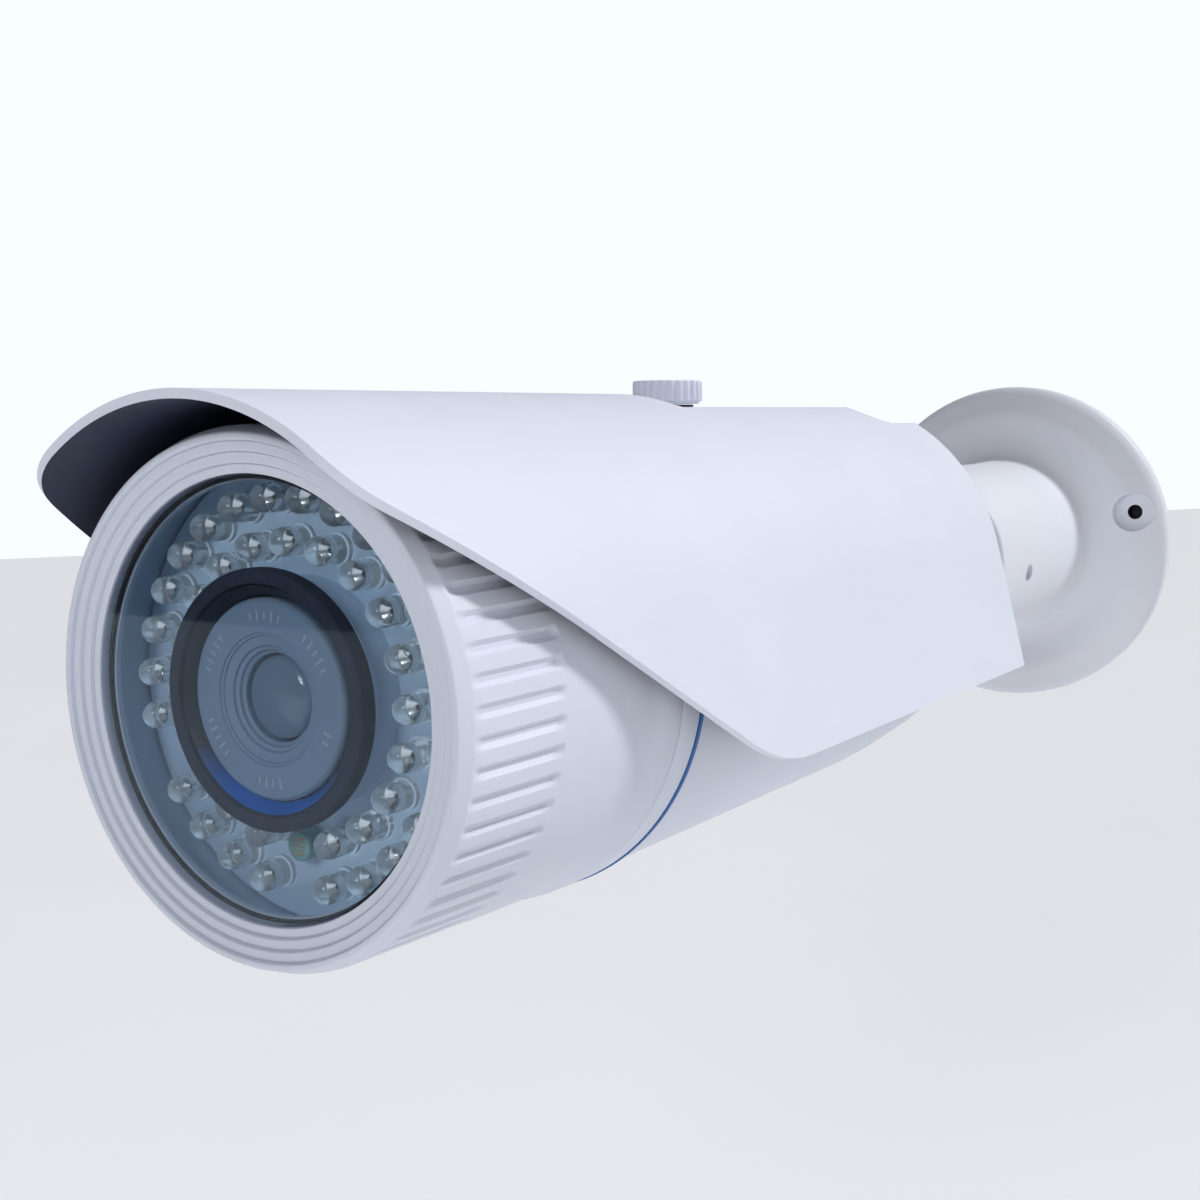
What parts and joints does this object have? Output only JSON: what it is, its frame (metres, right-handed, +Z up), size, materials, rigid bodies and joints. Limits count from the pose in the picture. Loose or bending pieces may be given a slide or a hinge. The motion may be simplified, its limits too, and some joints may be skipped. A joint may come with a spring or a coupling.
{
  "type": "security camera",
  "caption": "Bullet security camera with a ribbed bezel, LED rings round the lens and a sliding sunshade, on a round wall bracket that pans, tilts and rolls.",
  "frame": {"origin": "centre of the bracket flange's back face, on the wall", "axes": "+Z up, wall normal along -Y, so the camera axis is Y and the lens looks along -Y; +X to the right seen from behind the camera"},
  "size_m": [0.1142, 0.3925, 0.1106],
  "materials": {
    "white_shell": "white satin powder coat",
    "bezel": "white satin powder coat",
    "bracket": "white satin powder coat",
    "window": "clear tempered",
    "gasket": "matte",
    "black_plastic": "matte",
    "blue_seal": "satin",
    "foam": "matte foam",
    "lens_grey": "satin",
    "led_clear": "clear",
    "sensor_cell": "gloss",
    "steel": "brushed",
    "brass": "machined",
    "alloy": "satin",
    "circuit": "solder mask",
    "dark_board": "blue-grey solder mask",
    "chip": "matte"
  },
  "bodies": {
    "bracket": {"wall_flange": "bracket"},
    "set_screw": {"pan_set_screw": "steel"},
    "arm": {"bracket_arm": "bracket", "arm_retainer": "steel", "tilt_bolt": "steel", "tilt_nut": "steel"},
    "knuckle": {"knuckle_fork": "bracket"},
    "head": {"board_spacer_1": "brass", "board_spacer_2": "brass", "board_spacer_3": "brass", "board_spacer_4": "brass", "board_spacer_5": "brass", "board_spacer_6": "brass", "board_standoff_1": "brass", "board_standoff_2": "brass", "board_standoff_3": "brass", "board_standoff_4": "brass", "cable_gland": "gasket", "capacitor": "chip", "chassis_tray": "alloy", "clamp_band": "white_shell", "filter_frame": "black_plastic", "front_bezel": "bezel", "heat_sink": "alloy", "image_sensor": "chip", "led_board": "dark_board", "leds_inner": "led_clear", "leds_outer": "led_clear", "lens_color_ring": "blue_seal", "lens_holder": "black_plastic", "lens_shroud": "foam", "lens_trim_disc": "lens_grey", "light_sensor": "sensor_cell", "main_board": "circuit", "network_socket": "steel", "power_board": "circuit", "processor": "chip", "rear_housing": "white_shell", "seal_ring": "blue_seal", "sensor_board": "circuit", "tail_cap": "white_shell", "thread_insert": "brass", "window_gasket": "gasket", "window_glass": "window"},
    "lock_ring": {"roll_lock_ring": "white_shell"},
    "shade": {"sunshade": "white_shell"},
    "washer": {"knob_washer": "black_plastic"},
    "knob": {"thumb_knob": "white_shell", "thumb_stud": "steel"},
    "lens": {"lens_barrel": "black_plastic", "lens_element": "window"},
    "filter": {"infrared_filter": "window"}
  },
  "joints": [
    {"name": "pan", "type": "hinge", "parent": "bracket", "child": "arm", "pos_m": [0, -0.07, 0], "axis": [0, 1, 0], "range_deg": [-180, 180]},
    {"name": "pan_set_screw_turn", "type": "hinge", "parent": "bracket", "child": "set_screw", "pos_m": [0, -0.0695, 0], "axis": [0.9885, 0, -0.1513], "range_deg": [0, 360]},
    {"name": "tilt", "type": "hinge", "parent": "arm", "child": "knuckle", "pos_m": [0, -0.113, 0], "axis": [1, 0, 0], "range_deg": [-50, 50]},
    {"name": "roll", "type": "hinge", "parent": "knuckle", "child": "head", "pos_m": [0, -0.136, 0], "axis": [0, 1, 0], "range_deg": [-180, 180]},
    {"name": "lock_ring_turn", "type": "hinge", "parent": "head", "child": "lock_ring", "pos_m": [0, -0.134, 0], "axis": [0, 1, 0], "range_deg": [-180, 180]},
    {"name": "shade_slide", "type": "slide", "parent": "head", "child": "shade", "axis": [0, -1, 0], "range_m": [-0.0044, 0.0258]},
    {"name": "knob_lift", "type": "slide", "parent": "head", "child": "washer", "axis": [0, 0, 1], "range_m": [0, 0.00145]},
    {"name": "knob_turn", "type": "hinge", "parent": "washer", "child": "knob", "pos_m": [0, -0.245, 0.05], "axis": [0, 0, 1], "range_deg": [0, 720]},
    {"name": "focus_turn", "type": "hinge", "parent": "head", "child": "lens", "pos_m": [0, -0.362, 0], "axis": [0, 1, 0], "range_deg": [-30, 30]},
    {"name": "filter_slide", "type": "slide", "parent": "head", "child": "filter", "axis": [1, 0, 0], "range_m": [0, 0.0073]}
  ],
  "couplings": [
    {"joint": "knob_lift", "follows": "knob_turn", "m_per_rad": 0.00011141}
  ]
}
